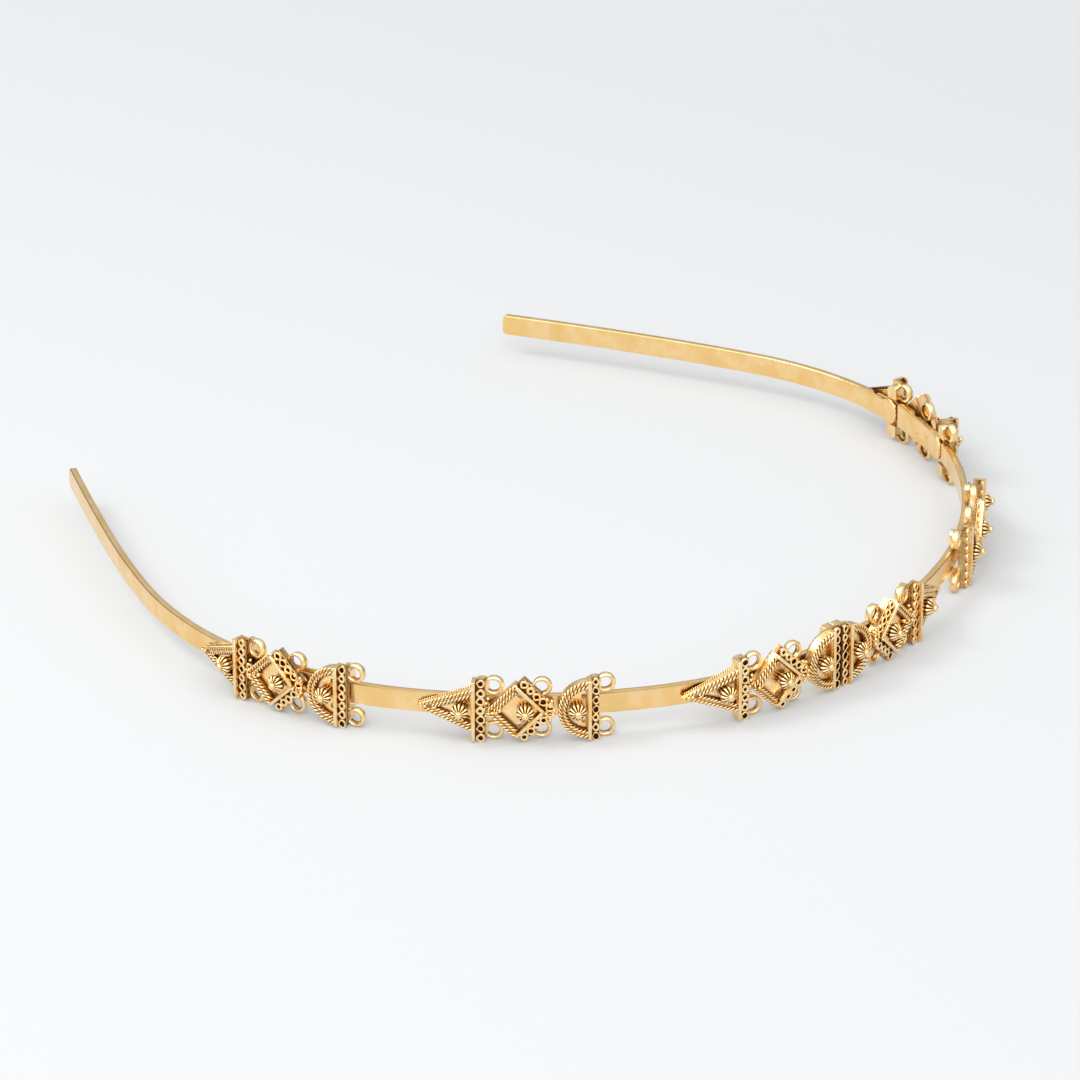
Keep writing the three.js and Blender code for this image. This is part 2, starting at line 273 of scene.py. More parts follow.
def makeBandGold(name):
    material = bpy.data.materials.new(name)
    n = Nodes(material)
    place = n.grain()
    # random blotches of pale, olive and orange colour, painted to stand in for the mottled reflections on
    # the polished faces
    mottledReflection = n.noise(place, scale=0.13, detail=4.0)
    color = n.ramp(mottledReflection, (0.36, bandGold["olive"]), (0.46, bandGold["face"]),
                   (0.54, bandGold["pale"]), (0.64, bandGold["face"]))
    warmReflection = n.ramp(n.noise(place, scale=0.32), (0.52, (0, 0, 0)), (0.68, (1, 1, 1)))
    color = n.mixColor(warmReflection * 0.5, color, bandGold["warm"])
    # the strip darkens towards the painted-shade colour at the seam's shadow and along the upper outer
    # edge
    tarnish = n.add("ShaderNodeAttribute", {"attribute_name": "tarnish"}, output=2)
    color = n.mixColor(tarnish, color, bandGold["shadeColor"])
    scratches = n.noise(n.grain((0.6, 9, 9)), scale=3.0, detail=5.0, roughness=0.7)
    dents = n.noise(place, scale=0.9, detail=2.0)
    sway = n.noise(place, scale=0.2, detail=1.0)
    height = scratches * 0.25 + dents + sway * 2.5
    bump = n.add("ShaderNodeBump", {}, {
        "Strength": bandGold["bump"], "Distance": bandGold["bumpDepth"], "Height": height})
    rough = ((scratches - 0.5) * bandGold["roughSpread"] + bandGold["roughness"]
             + tarnish * bandGold["roughTarnish"])
    n.connect(n.shader, {"Base Color": color, "Metallic": 1.0, "Roughness": rough.clamp(), "Normal": bump})
    return material


def makeFiligreeGold(name):
    material = bpy.data.materials.new(name)
    n = Nodes(material)
    place = n.grain()
    tarnish = n.add("ShaderNodeAttribute", {"attribute_name": "tarnish"}, output=2)
    specks = n.noise(place, scale=1.3, detail=4.0)
    # painted shade from the tarnish attribute, with random wear specks on top
    shadeAndWear = (tarnish + (specks - 0.5) * filigreeGold["wear"]).clamp()
    body = n.ramp(n.noise(place, scale=0.5), (0.4, filigreeGold["raised"]), (0.6, filigreeGold["pale"]))
    # amber for the tone and light painted shade, then the painted-shade colour where it is deepest
    color = n.mixColor((shadeAndWear * 2.2 - 0.35).clamp(), body, filigreeGold["amber"])
    color = n.mixColor((shadeAndWear * 2.3 - 1.0).clamp(), color, filigreeGold["shadeColor"])
    bump = n.add("ShaderNodeBump", {}, {
        "Strength": filigreeGold["bump"], "Distance": filigreeGold["bumpDepth"],
        "Height": n.noise(place, scale=6.0)})
    rough = (specks * filigreeGold["roughSpread"] + filigreeGold["roughness"]
             + shadeAndWear * filigreeGold["roughTarnish"])
    n.connect(n.shader, {"Base Color": color, "Metallic": 1.0, "Roughness": rough.clamp(), "Normal": bump})
    return material


stripGold = makeBandGold("polishedStripGold")
wireGold = makeFiligreeGold("filigreeGold")
print("materials made")


def stripSection(inner, outer, halfHeight):
    # a rounded bar section as (up, out) points, walking round from the upper outer corner
    half = (outer - inner) / 2
    radius = min(band["edgeRound"], half - band["leastFlat"], halfHeight - band["leastFlat"])
    steps = len(band["edgeShade"])
    points = []
    for cornerUp, cornerOut, start in ((1, 1, 0), (-1, 1, 90), (-1, -1, 180), (1, -1, 270)):
        for k in range(steps):
            angle = math.radians(start + 90 / (steps - 1) * k)
            points.append((cornerUp * (halfHeight - radius) + radius * math.cos(angle),
                           inner + half + cornerOut * (half - radius) + radius * math.sin(angle)))
    return points


def steppedEnd(tongueStart, end, before):
    # the end of a strip, cut back on its inner face to take the next tongue
    face = band["thickness"] / 2
    waist = band["height"] / 2
    return [(tongueStart - 2 * lap["stepClear"], -face, face, before),
            (tongueStart - lap["stepClear"], lap["stepInner"], face, waist),
            (end, lap["stepInner"], face, waist)]


def tongue(start, below, radius, plain):
    # rounded start of a tongue, then its return to the full band past the piece below it
    inner, outer, face = lap["tongueInner"], lap["tongueOuter"], band["thickness"] / 2
    turns = [math.radians(a) for a in lap["turns"]]
    discEnd = start + 2 * radius - lap["cut"]
    eased = plain + (radius - plain) * lap["easeShare"]
    return [(start + radius * (1 - math.cos(a)), inner, outer, radius * math.sin(a)) for a in turns] + [
        (start + radius, inner, outer, radius),
        (start + radius + lap["ease"], inner, outer, radius),
        (discEnd - lap["ease"], inner, outer, eased),
        (discEnd, inner, outer, plain),
        (below + lap["gap"], inner, outer, plain),
        (below + lap["gap"] + lap["ramp"], -face - lap["proud"], face, plain),
    ]


def bandStrip(name, node, side, rows, dots=(), seam=None):
    # rows: distance, inner face, outer face and half height, straight between rows; a painted shadow at
    # the seam, and a thin painted shade line along the upper outer edge
    edge = np.zeros(4 * len(band["edgeShade"]))
    edge[:len(band["edgeShade"])] = band["edgeShade"]
    work = Metalwork()
    rows = np.array(rows, float)
    distances = [rows[0, 0]]
    for a, b in zip(rows[:-1, 0], rows[1:, 0]):
        distances += list(np.linspace(a, b, max(2, round((b - a) / band["spacing"]) + 1))[1:])
    sections, tarnish = [], []
    for d in distances:
        inner, outer, half = (np.interp(d, rows[:, 0], rows[:, k]) for k in (1, 2, 3))
        sections.append([(side * d, up, out) for up, out in stripSection(inner, outer, half)])
        # a painted shadow along the seam, where the next tongue's end stands
        atSeam = seam and abs(abs(d) - seam) < 0.01
        tarnish.append(np.maximum(edge, lap["seamShadow"] if atSeam else 0.0))
    work.grid(np.array(sections)[:, ::side], np.array(tarnish)[:, ::side])
    for d, up in dots:
        ball(work, (side * d, up, lap["tongueInner"] + link["dotSunk"]), link["dotRadius"], sides=12)

    def toWorld(points):
        placed = []
        for distance, up, out in points:
            x, y, turn = station(distance)
            placed.append((x + out * math.sin(turn), y - out * math.cos(turn), up))
        return np.array(placed) + toModel

    makePiece(name, work, toWorld, stripGold, node, band["sharp"])


def ball(work, centre, radius, sides=10, flat=1.0, steps=8):
    # a granule, with painted shade at its foot; flat below 1 presses it down
    turn = np.arange(sides) * 2 * math.pi / sides
    sections = []
    for k in range(1, steps):
        polar = math.pi * k / steps
        around = radius * math.sin(polar)
        sections.append(np.c_[around * np.cos(turn), around * np.sin(turn),
                              np.full(sides, -flat * radius * math.cos(polar))] + centre)
    sections = np.array(sections)
    work.grid(sections, 0.9 * smooth((centre[2] - sections[:, :, 2]) / radius - 0.1))


def makeBand():
    face, waist, tip = band["thickness"] / 2, band["height"] / 2, band["tipRound"]
    half = [(0, -face, face, waist)] + steppedEnd(link["start"], band["frontEnd"], waist)
    mirrored = [(-d, inner, outer, high) for d, inner, outer, high in half[:0:-1]]
    bandStrip("frontBand", "front_band", 1, mirrored + half, seam=link["start"] - lap["stepClear"])
    for side, hand in ((1, "right"), (-1, "left")):
        rows = tongue(link["start"], band["frontEnd"], link["halfHeight"], link["halfHeight"])
        rows += steppedEnd(arm["start"], link["end"], link["halfHeight"])
        seam = arm["start"] - lap["stepClear"]
        bandStrip(f"link_{hand}Strip", f"link_{hand}", side, rows, link["dots"], seam)
        rows = tongue(arm["start"], link["end"], arm["disc"], waist)
        rows += [(arm["plainFrom"], -face, face, waist)]
        tipTurns = np.linspace(0, math.radians(80), 7)  # short of 90, so the tip keeps a flat end
        rows += [(arm["end"] - tip * (1 - math.sin(a)), -face, face, waist - tip * (1 - math.cos(a)))
                 for a in tipTurns]
        bandStrip(f"arm_{hand}Strip", f"arm_{hand}", side, rows)


makeBand()
print("band, links and arms made")

# Parts of an ornament: along, up and out of the band.  Depths are out of the band's middle line
depth = {"back": 0.95, "plate": 2.0, "row": 2.75, "rim": 2.8, "bar": 3.3, "tab": -0.6}
ropes = {
    "radius": 0.39, "strand": 0.2, "twist": 1.44, "step": 0.12, "sides": 8,
    "insets": (0.2, 1.0), "well": 1.36, "above": -0.05, "phase": 1.1,
    "core": (0.24, 0.11),  # painted shade lies this near the rope's middle, between the strands, and fades over this much
    "shade": (0.06, 0.3),  # and below this height, fading over this much
}
uprightBar = {"half": 5.5, "width": 0.65, "bevel": 0.13, "tone": 0.19}
row = {
    "triangle": 1.65, "halfRound": 1.4, "centrePair": 1.5, "half": 5.5,
    # the row's floor between the rings is darkened with painted shade
    "floor": 2.25, "floorShade": 0.8, "floorBevel": 0.05, "floorSides": 0.2,
    "count": 7, "endRing": 0.45, "pinch": 0.55, "edge": 0.14, "edgeDown": 0.5,
    "ringFoot": 0.1, "ringSides": 18, "ringBevel": 0.09,
    "pitSides": 12, "pitWider": 0.05, "pitAbove": 0.02,
}
loop = {
    "outer": 1.72, "inner": 1.1, "shift": 0.18, "back": 0.15, "front": 1.45,
    "tone": 0.17, "holeShade": 0.63,
}
tab = {"from": -0.1, "past": 0.45, "top": 5.1, "notch": 2.65, "corner": 0.95}
centreTab = {"from": 0.1, "past": 0.08, "top": 5.3, "notch": 2.65, "corner": 0.12}
sharpEdge = 62
ringSizes = {  # outer and hole radii: across the row, then along it
    "triangle": (0.82, 0.88, 0.40, 0.44),
    "halfRound": (0.70, 0.88, 0.40, 0.52),
    "centrePair": (0.74, 0.86, 0.44, 0.60),
    "diamond": (0.80, 0.84, 0.42, 0.44),
}


def inset(points, distance, mitreLimit=2.6):
    # a counterclockwise convex outline moved inwards
    points = np.asarray(points, float)
    after, before = np.roll(points, -1, 0) - points, points - np.roll(points, 1, 0)
    after /= np.linalg.norm(after, axis=1)[:, None]
    before /= np.linalg.norm(before, axis=1)[:, None]
    inA, inB = np.c_[-after[:, 1], after[:, 0]], np.c_[-before[:, 1], before[:, 0]]
    middle = inA + inB
    middle /= (middle * inA).sum(1)[:, None] + 1e-9
    length = np.linalg.norm(middle, axis=1)
    middle *= np.minimum(1, mitreLimit / length)[:, None]
    return points + middle * distance


def counter(points):
    # the outline, counterclockwise
    x, y = np.asarray(points, float).T
    area = (x * np.roll(y, -1) - np.roll(x, -1) * y).sum()
    return np.asarray(points, float)[:: 1 if area > 0 else -1]


def ellipse(centre, wide, high, lean=0.0, sides=16):
    turn = np.arange(sides) * 2 * math.pi / sides
    x, y = wide * np.cos(turn), high * np.sin(turn)
    c, s = math.cos(lean), math.sin(lean)
    return np.c_[centre[0] + x * c - y * s, centre[1] + x * s + y * c]


def disc(work, outline, out):
    # a flat face, dark with painted shade, that closes a pit
    work.add(np.c_[outline, np.full(len(outline), out)], [tuple(range(len(outline)))], 1.0)


# A softened edge: how far down from the front and in from the side, in bevels
softEdge = [(1.3, 0), (1, 0), (0.3, 0.3), (0, 1), (0, 1.3)]


def block(work, points, back, front, bevel=0.12, tarnish=0.0, sides=0.25):
    # an upright block with softened front edges; its front takes the given tone, and sides is painted
    # shade at its foot
    outline = counter(points)
    layers = [(back, 0, sides)]
    layers += [(front - down * bevel, inwards * bevel, tarnish) for down, inwards in softEdge]
    sections = [np.c_[inset(outline, i), np.full(len(outline), w)] for w, i, t in layers]
    tones = np.repeat([t for w, i, t in layers], len(outline)).reshape(len(layers), -1)
    work.grid(sections, tones)


def edgeDistance(points, outline):
    # how far inside a counterclockwise convex outline each point lies; negative outside
    ahead = np.roll(outline, -1, 0) - outline
    ahead /= np.linalg.norm(ahead, axis=1)[:, None]
    to = points[:, None] - outline[None]
    return (ahead[None, :, 0] * to[:, :, 1] - ahead[None, :, 1] * to[:, :, 0]).min(1)


# holeEdge sets how far inside an opening's edge counts, for the painted shade round the openings
sheet = {"lattice": 0.5, "latticeFrom": 0.6, "rims": (0.16, 0.42), "holeRim": 0.12, "holeEdge": 0.22}


def plate(work, outline, holes, out, facing, stops):
    # a flat plate with openings; stops are distances from the edge and the painted shade there, and an
    # opening's edge counts as a little inside
    outline = counter(outline)
    low, high = outline.min(0), outline.max(0)
    lattice = np.array([(x, y) for x in np.arange(low[0], high[0], sheet["lattice"])
                        for y in np.arange(low[1], high[1], sheet["lattice"])])
    lattice = lattice[edgeDistance(lattice, outline) > sheet["latticeFrom"]]
    lines, points = [outline], [outline] + [inset(outline, rim) for rim in sheet["rims"]] + [lattice]
    for hole in holes:
        lines.append(counter(hole))
        points += [inset(lines[-1], -sheet["holeRim"]), lines[-1]]
    points = np.concatenate(points)
    edges = []
    for line in lines:
        at = [int(np.abs(points - p).sum(1).argmin()) for p in line]
        edges += list(zip(at, at[1:] + at[:1]))
    spots, _, faces = delaunay_2d_cdt([Vector(p) for p in points], edges, [], 0, 1e-6)[:3]
    spots = np.array([tuple(p) for p in spots])
    centres = spots[np.array(faces)].mean(1)
    keep = edgeDistance(centres, outline) > 0
    near = edgeDistance(spots, outline)
    for line in lines[1:]:
        keep &= edgeDistance(centres, line) < 0
        near = np.minimum(near, np.maximum(0, -edgeDistance(spots, line)) + sheet["holeEdge"])
    faces = [tuple(face)[::facing] for face, wanted in zip(faces, keep) if wanted]
    tone = np.interp(near, [s[0] for s in stops], [s[1] for s in stops])
    work.add(np.c_[spots, np.full(len(spots), out)], faces, tone)


def wall(work, outline, back, front, facing, tones):
    # a thin upright wall along a closed outline, facing outwards (1) or inwards (-1); tones are painted
    # shade at its foot and top
    outline = counter(outline)[::facing]
    m = len(outline)
    corners = np.r_[np.c_[outline, np.full(m, back)], np.c_[outline, np.full(m, front)]]
    faces = [(j, (j + 1) % m, m + (j + 1) % m, m + j) for j in range(m)]
    work.add(corners, faces, np.repeat(tones, m))


def evenPoints(path, step):
    # points evenly spaced on a line, with the way across it
    path = np.asarray(path, float)
    pieces = np.linalg.norm(np.diff(path, axis=0), axis=1)
    total = np.r_[0, np.cumsum(pieces)]
    s = np.linspace(0, total[-1], max(2, round(total[-1] / step) + 1))
    points = np.c_[np.interp(s, total, path[:, 0]), np.interp(s, total, path[:, 1])]
    heading = np.gradient(points, axis=0)
    heading /= np.linalg.norm(heading, axis=1)[:, None]
    return s, points, np.c_[-heading[:, 1], heading[:, 0]]


def rope(work, path, out, hand=1, phase=0.0, scale=1.0):
    # two twisted strands laid along a path at one depth, darkened with painted shade between and below
    # them
    strand = ropes["strand"] * scale
    reach = ropes["radius"] * scale - strand
    (near, nearSpread), (low, lowSpread) = ropes["core"], ropes["shade"]
    turn = np.arange(ropes["sides"]) * 2 * math.pi / ropes["sides"]
    s, points, across = evenPoints(path, ropes["step"] * scale)
    middle = np.c_[points, np.full(len(s), out)][:, None]
    for k in (0, 1):
        angle = hand * 2 * math.pi * s / (ropes["twist"] * scale) + math.pi * k + phase
        centre = np.c_[points + across * (reach * np.cos(angle))[:, None], out + reach * np.sin(angle)]
        ahead = np.gradient(centre, axis=0)
        ahead /= np.linalg.norm(ahead, axis=1)[:, None]
        first = np.c_[across, np.zeros(len(s))]
        first -= ahead * (first * ahead).sum(1)[:, None]
        first /= np.linalg.norm(first, axis=1)[:, None]
        second = np.cross(ahead, first)
        sections = centre[:, None] + strand * (first[:, None] * np.cos(turn)[None, :, None]
                                               + second[:, None] * np.sin(turn)[None, :, None])
        away = np.linalg.norm(sections - middle, axis=2) / scale
        below = smooth((out + low - sections[:, :, 2]) / (lowSpread * scale))
        work.grid(sections, np.maximum(1 - smooth((away - near) / nearSpread), 0.9 * below))


def hoop(work, centre, outer, inner, back, front, sides, bevel, lean=0.0, pinch=0.0):
    # a flat ring with softened front edges; radii are (first axis, second axis) and the first axis leans;
    # pinch draws its far end to a point; the hole and the ring's foot are darkened with painted shade
    turn = np.arange(sides) * 2 * math.pi / sides
    c, s = math.cos(lean), math.sin(lean)
    narrow = 1 - pinch * smooth(np.cos(turn))
    profile = [(0.0, back, 0.7), (0.0, front - bevel, 0.25), (0.3 * bevel, front - 0.3 * bevel, 0),
               (bevel, front, 0), (-bevel, front, 0), (-0.3 * bevel, front - 0.3 * bevel, 0.1),
               (-1e-6, front - bevel, 0.6), (-1e-6, back, 0.9)]
    sections, tones = [], []
    for step, w, tone in profile:  # steps below 0 are taken from the hole
        radii = outer if step >= 0 else inner
        x = (radii[0] - step) * np.cos(turn)
        y = (radii[1] - step) * np.sin(turn) * narrow
        sections.append(np.c_[centre[0] + x * c - y * s, centre[1] + x * s + y * c, np.full(sides, w)])
        tones.append(np.full(sides, tone))
    sections = np.transpose(np.array(sections), (1, 0, 2))
    work.grid(sections[:, ::-1], np.array(tones).T[:, ::-1], closedAlong=True)


def roundHoop(work, centre, outer, inner, shift, back, front, tone, holeShade,
              sides=36, steps=10, square=0.6):
    # a soft-edged loop; its hole is shifted towards the piece that it is soldered to, and is darkened with
    # painted shade at the back
    turn = np.arange(sides) * 2 * math.pi / sides
    sections, tones = [], []
    thick, wide = (front - back) / 2, (outer - inner) / 2
    for k in range(steps):
        a = 2 * math.pi * (k + 0.5) / steps
        across = math.copysign(abs(math.cos(a)) ** square, math.cos(a))
        deep = math.copysign(abs(math.sin(a)) ** square, math.sin(a))
        r = (outer + inner) / 2 + wide * across
        x = r * np.cos(turn) + shift * (1 - across) / 2
        sections.append(np.c_[centre[0] + x, centre[1] + r * np.sin(turn),
                              np.full(sides, back + thick * (1 + deep))])
        tones.append(np.full(sides, tone + holeShade * smooth(-across) * smooth(0.5 - deep)))
    sections = np.transpose(np.array(sections), (1, 0, 2))
    work.grid(sections, np.array(tones).T, closedAlong=True)


handWork = {  # how much the small rings differ from one another
    "along": 0.05, "up": 0.1, "size": (0.92, 1.04), "hole": (0.65, 1.2), "turn": 0.3,
    "sunk": (0, 0.15), "pinch": (0.4, 1.2),
}


def ringRow(work, style, start, end, count, lean, pinch):
    # small rolled rings side by side, each with a pit dark with painted shade; the first axis is turned by
    # lean
    outerAcross, outerAlong, holeAcross, holeAlong = ringSizes[style]
    for k in range(count):
        t = k / (count - 1)
        slipAlong = random.uniform(-handWork["along"], handWork["along"])
        slipUp = random.uniform(-handWork["up"], handWork["up"])
        centre = (start[0] + (end[0] - start[0]) * t + slipAlong,
                  start[1] + (end[1] - start[1]) * t + slipUp)
        size, hole = random.uniform(*handWork["size"]), random.uniform(*handWork["hole"])
        turned = lean + random.uniform(-handWork["turn"], handWork["turn"])
        front = depth["row"] - random.uniform(*handWork["sunk"])
        hoop(work, centre, (outerAcross * size, outerAlong * size), (holeAcross * hole, holeAlong * hole),
             row["floor"] - row["ringFoot"], front, row["ringSides"], row["ringBevel"], turned,
             pinch * random.uniform(*handWork["pinch"]))
        pit = ellipse(centre, holeAcross * hole + row["pitWider"], holeAlong * hole + row["pitWider"],
                      turned, row["pitSides"])
        disc(work, pit, row["floor"] + row["pitAbove"])


def rectangle(left, right, half):
    return [(left, -half), (right, -half), (right, half), (left, half)]


def barAndRow(work, style):
    # upright plain bar, the row behind it and the tabs that clasp the band
    half = uprightBar["width"] / 2
    block(work, rectangle(-half, half, uprightBar["half"]),
          depth["back"], depth["bar"], uprightBar["bevel"], uprightBar["tone"])
    inner = -half - row[style]
    reach = row["half"]
    block(work, rectangle(inner, -half, reach),
          depth["back"], row["floor"], row["floorBevel"], row["floorShade"], row["floorSides"])
    x = inner + ringSizes[style][0]
    ends = reach - row["endRing"]
    ringRow(work, style, (x, -ends), (x, ends), row["count"], 0.0, row["pinch"])
    if style != "centrePair":
        block(work, rectangle(inner, inner + row["edge"], reach),
              depth["back"], depth["row"] - row["edgeDown"], bevel=0.04, tarnish=0.2, sides=0.1)
    for up in (1, -1):
        # a block with a rounded top, soldered behind the row and clasping the band; the two
        # middle ones meet in one plain block
        clasp = centreTab if style == "centrePair" else tab
        corner, start, end = clasp["corner"], clasp["from"], inner - clasp["past"]
        arcs = [(end + corner * (1 - math.sin(a)), clasp["top"] - corner * (1 - math.cos(a)))
                for a in np.linspace(0, math.pi / 2, 8)]
        arcs = [(start + end - x, y) for x, y in arcs[::-1]] + arcs
        outline = [(start, clasp["notch"])] + arcs + [(end, clasp["notch"])]
        block(work, [(x, up * y) for x, y in outline], depth["tab"], depth["back"] + 0.3, sides=0.0)


def loopPair(work, x, high):
    for up in (1, -1):
        roundHoop(work, (x, up * high), **loop)


def box(work, outline, well, holes, ropeLines):
    # walls, rim, floor and back of an ornament's box, with the double rope on its rim
    outline, well = counter(outline), counter(well)
    m = len(outline)
    # each layer: out, inset, painted shade
    layers = [(depth["back"], 0.08, 0.7), (depth["back"] + 0.1, 0, 0.35), (depth["back"] + 0.3, 0, 0.05),
              (depth["rim"] - 0.2, 0, 0.0), (depth["rim"] - 0.04, 0.05, 0.0), (depth["rim"], 0.16, 0.3)]
    corners = [np.c_[inset(outline, i), np.full(m, w)] for w, i, t in layers]
    corners.append(np.c_[well, np.full(m, depth["rim"] - 0.1)])
    tones = [t for w, i, t in layers] + [0.95]
    faces = [(a * m + j, a * m + (j + 1) % m, (a + 1) * m + (j + 1) % m, (a + 1) * m + j)
             for a in range(len(layers)) for j in range(m)]
    work.add(np.concatenate(corners), faces, np.repeat(tones, m))
    # painted shade darkens the well's inner wall, the floor near it, the back's edge and the openings'
    # walls
    wall(work, well, depth["plate"], depth["rim"] - 0.1, -1, (0.85, 0.55))
    plate(work, well, holes, depth["plate"], 1, [(0, 0.75), (0.16, 0.4), (0.42, 0.08), (0.8, 0.0)])
    plate(work, outline, holes, depth["back"], -1, [(0, 0.3), (0.4, 0.1)])
    for hole in holes:
        wall(work, hole, depth["back"], depth["plate"], -1, (0.5, 0.4))
    for k, path in enumerate(ropeLines):
        rope(work, path, depth["rim"] + ropes["above"], phase=k * ropes["phase"])


def granules(work, table):
    for x, y, out, radius in table:
        ball(work, (x, y, out), radius)


triangle = {
    "length": 9.85, "half": 3.95, "from": 0.3, "loopAt": -3.35, "loopHigh": 4.15,
    "lower": 0.3, "slope": 0.5,  # shares of its back's and its walls' depth lost from bar to tip
    "ropeEnd": (0.1, 0.08),  # short of the tip, and from the middle
    "foot": {"outside": 0.05, "short": 0.5, "apart": 0.2, "above": 0.12, "scale": 0.6},
    "holes": [(1.05, 1.45, 0.44, 0.3), (1.05, -1.45, 0.44, 0.3)],  # along, up, half width, half height
    "granules": [(9.0, 0, 3.4, 0.34), (8.3, 0.05, 3.3, 0.3)],  # along, up, out, radius
}


def triangleBox(side, style):
    work = Metalwork(side)
    length, high, start = triangle["length"], triangle["half"], triangle["from"]
    slope = math.atan2(high, length)

    def wedge(insetBy):
        top, tip = high - insetBy / math.cos(slope), length - insetBy / math.sin(slope)
        return [(start, -top + start * high / length), (tip, 0), (start, top - start * high / length)]

    lines = []
    for up in (1, -1):
        for insetBy in ropes["insets"][::up]:
            (tip, _), (base, top) = wedge(insetBy)[1:]
            lines.append([(base, up * top), (tip - triangle["ropeEnd"][0], up * triangle["ropeEnd"][1])])
    holes = [ellipse((x, y), wide, high) for x, y, wide, high in triangle["holes"]]
    box(work, wedge(0), wedge(ropes["well"]), holes, lines)
    foot = triangle["foot"]
    (tip, _), (base, top) = wedge(-foot["outside"])[1:]
    for up in (1, -1):
        # a thinner rope round the foot of the box
        rope(work, [(base, up * top), (tip - foot["short"], up * foot["apart"])],
             depth["back"] + foot["above"], up, scale=foot["scale"])
    granules(work, triangle["granules"])
    for corners in work.corners:
        share = np.clip(corners[:, 0] / length, 0, 1)
        behind = np.minimum(corners[:, 2], depth["back"])
        corners[:, 2] = (behind * (1 - triangle["lower"] * share)
                         + (corners[:, 2] - behind) * (1 - triangle["slope"] * share))
    barAndRow(work, style)
    loopPair(work, triangle["loopAt"], triangle["loopHigh"])
    return work


diamond = {
    "tip": 5.8, "half": 5.07, "loopAt": -3.7, "loopHigh": 3.87,
    "bar": {"width": 0.6, "start": 0.3, "end": 7.17},  # along the inner side, from the upright corner
    "row": {"width": 1.62, "start": 0.45, "end": 7.4, "edge": 0.12, "edgeDown": 0.45,
            "count": 5, "first": 0.75, "pitch": 1.5, "pinch": 0.4},
    "ropeStart": (0.3, 0.35),  # past the middle, less this share of the rope's inset
    "ropeEnd": 0.05,
    "hole": {"at": (0.1, 2.7), "wide": 0.76, "high": 0.42},
    "granules": [  # along, up, out, radius
        (3.45, 0.1, 2.4, 0.5), (4.65, 0, 3.3, 0.32), (3.95, 0.05, 3.1, 0.22),
        (5.7, 1.3, 2.2, 0.32), (5.4, 2.1, 2.0, 0.3), (5.75, -1.1, 2.1, 0.3), (6.0, 0.3, 2.4, 0.28),
        (-4.5, 2.3, 2.85, 0.33), (-5.1, 1.1, 2.95, 0.28), (-5.7, 0.3, 2.9, 0.33), (-5.6, -0.6, 2.85, 0.32),
        (-5.3, 1.9, 2.6, 0.3), (-5.0, -1.6, 2.75, 0.3), (-4.3, -0.1, 3.35, 0.28),
    ],
    "curls": [(-5.1, 1.1, 2.7), (-5.0, -0.9, 2.7), (5.6, 0.9, 2.2)],  # along, up, front
    "curl": {"outer": (0.5, 0.5), "inner": (0.3, 0.3), "back": 1.6, "sides": 14, "bevel": 0.06},
}


def diamondBox(side, style):
    work = Metalwork(side)
    tip, half, bar, rings = diamond["tip"], diamond["half"], diamond["bar"], diamond["row"]
    middle = tip - half
    root = math.sqrt(2)
    well, width = ropes["well"], bar["width"]
    outline = [(tip, 0), (middle, half), (middle - half, 0), (middle, -half)]
    wellAhead, wellDown = (width - well) / root, (width + well) / root
    inside = [(tip - root * well, 0), (middle + wellAhead, half - wellDown),
              (middle - half + root * width, 0), (middle + wellAhead, wellDown - half)]
    past, share = diamond["ropeStart"]
    lines = []
    for up in (1, -1):
        for insetBy in ropes["insets"][::up]:
            reach = root * insetBy
            start = middle + past - share * insetBy
            lines.append([(start, up * (tip - reach - start)), (tip - reach, up * diamond["ropeEnd"])])
    hole = diamond["hole"]
    holes = [ellipse((hole["at"][0], up * hole["at"][1]), hole["wide"], hole["high"], up * math.pi / 4)
             for up in (1, -1)]
    box(work, outline, inside, holes, lines)
    for up in (1, -1):
        # plain bar on the inner side, and a row of rings outside it
        base = np.array([middle, up * half])
        down, away = np.array([-1, -up]) / root, np.array([-1, up]) / root

        def slanted(a, b, c, d):
            # a run from distance a to b along the side, between offsets c and d across it
            return [base + down * s + away * o for s, o in ((a, c), (b, c), (b, d), (a, d))]

        start, end, across = rings["start"], rings["end"], rings["width"]
        block(work, slanted(bar["start"], bar["end"], -width, 0.0),
              depth["back"], depth["bar"], tarnish=uprightBar["tone"])
        block(work, slanted(start, end, 0.0, across),
              depth["back"], row["floor"], row["floorBevel"], row["floorShade"], row["floorSides"])
        block(work, slanted(start, end, across - rings["edge"], across),
              depth["back"], depth["row"] - rings["edgeDown"], bevel=0.04, tarnish=0.2, sides=0.1)
        runs = (start + rings["first"], start + rings["first"] + (rings["count"] - 1) * rings["pitch"])
        first, last = (base + down * s + away * (across - ringSizes[style][0]) for s in runs)
        ringRow(work, style, first, last, rings["count"], math.atan2(-away[1], -away[0]), rings["pinch"])
    for x, y, front in diamond["curls"]:
        hoop(work, (x, y), front=front, **diamond["curl"])
    granules(work, diamond["granules"])
    loopPair(work, diamond["loopAt"], diamond["loopHigh"])
    return work


halfRound = {
    "radius": 5.2, "from": 0.3, "loopAt": -2.9, "loopHigh": 4.15,
    "holes": [(0.95, 2.25, 0.4, 0.55), (0.95, -2.25, 0.4, 0.55)],
}


def halfRoundBox(side, style):
    work = Metalwork(side)

    def arc(insetBy, count=40):
        r = halfRound["radius"] - insetBy
        reach = math.acos(halfRound["from"] / r)
        return [(r * math.cos(a), r * math.sin(a)) for a in np.linspace(-reach, reach, count)]

    holes = [ellipse((x, y), wide, high) for x, y, wide, high in halfRound["holes"]]
    box(work, arc(0), arc(ropes["well"]), holes, [arc(insetBy, 60) for insetBy in ropes["insets"]])
    barAndRow(work, style)
    if style != "centrePair":
        loopPair(work, halfRound["loopAt"], halfRound["loopHigh"])
    return work


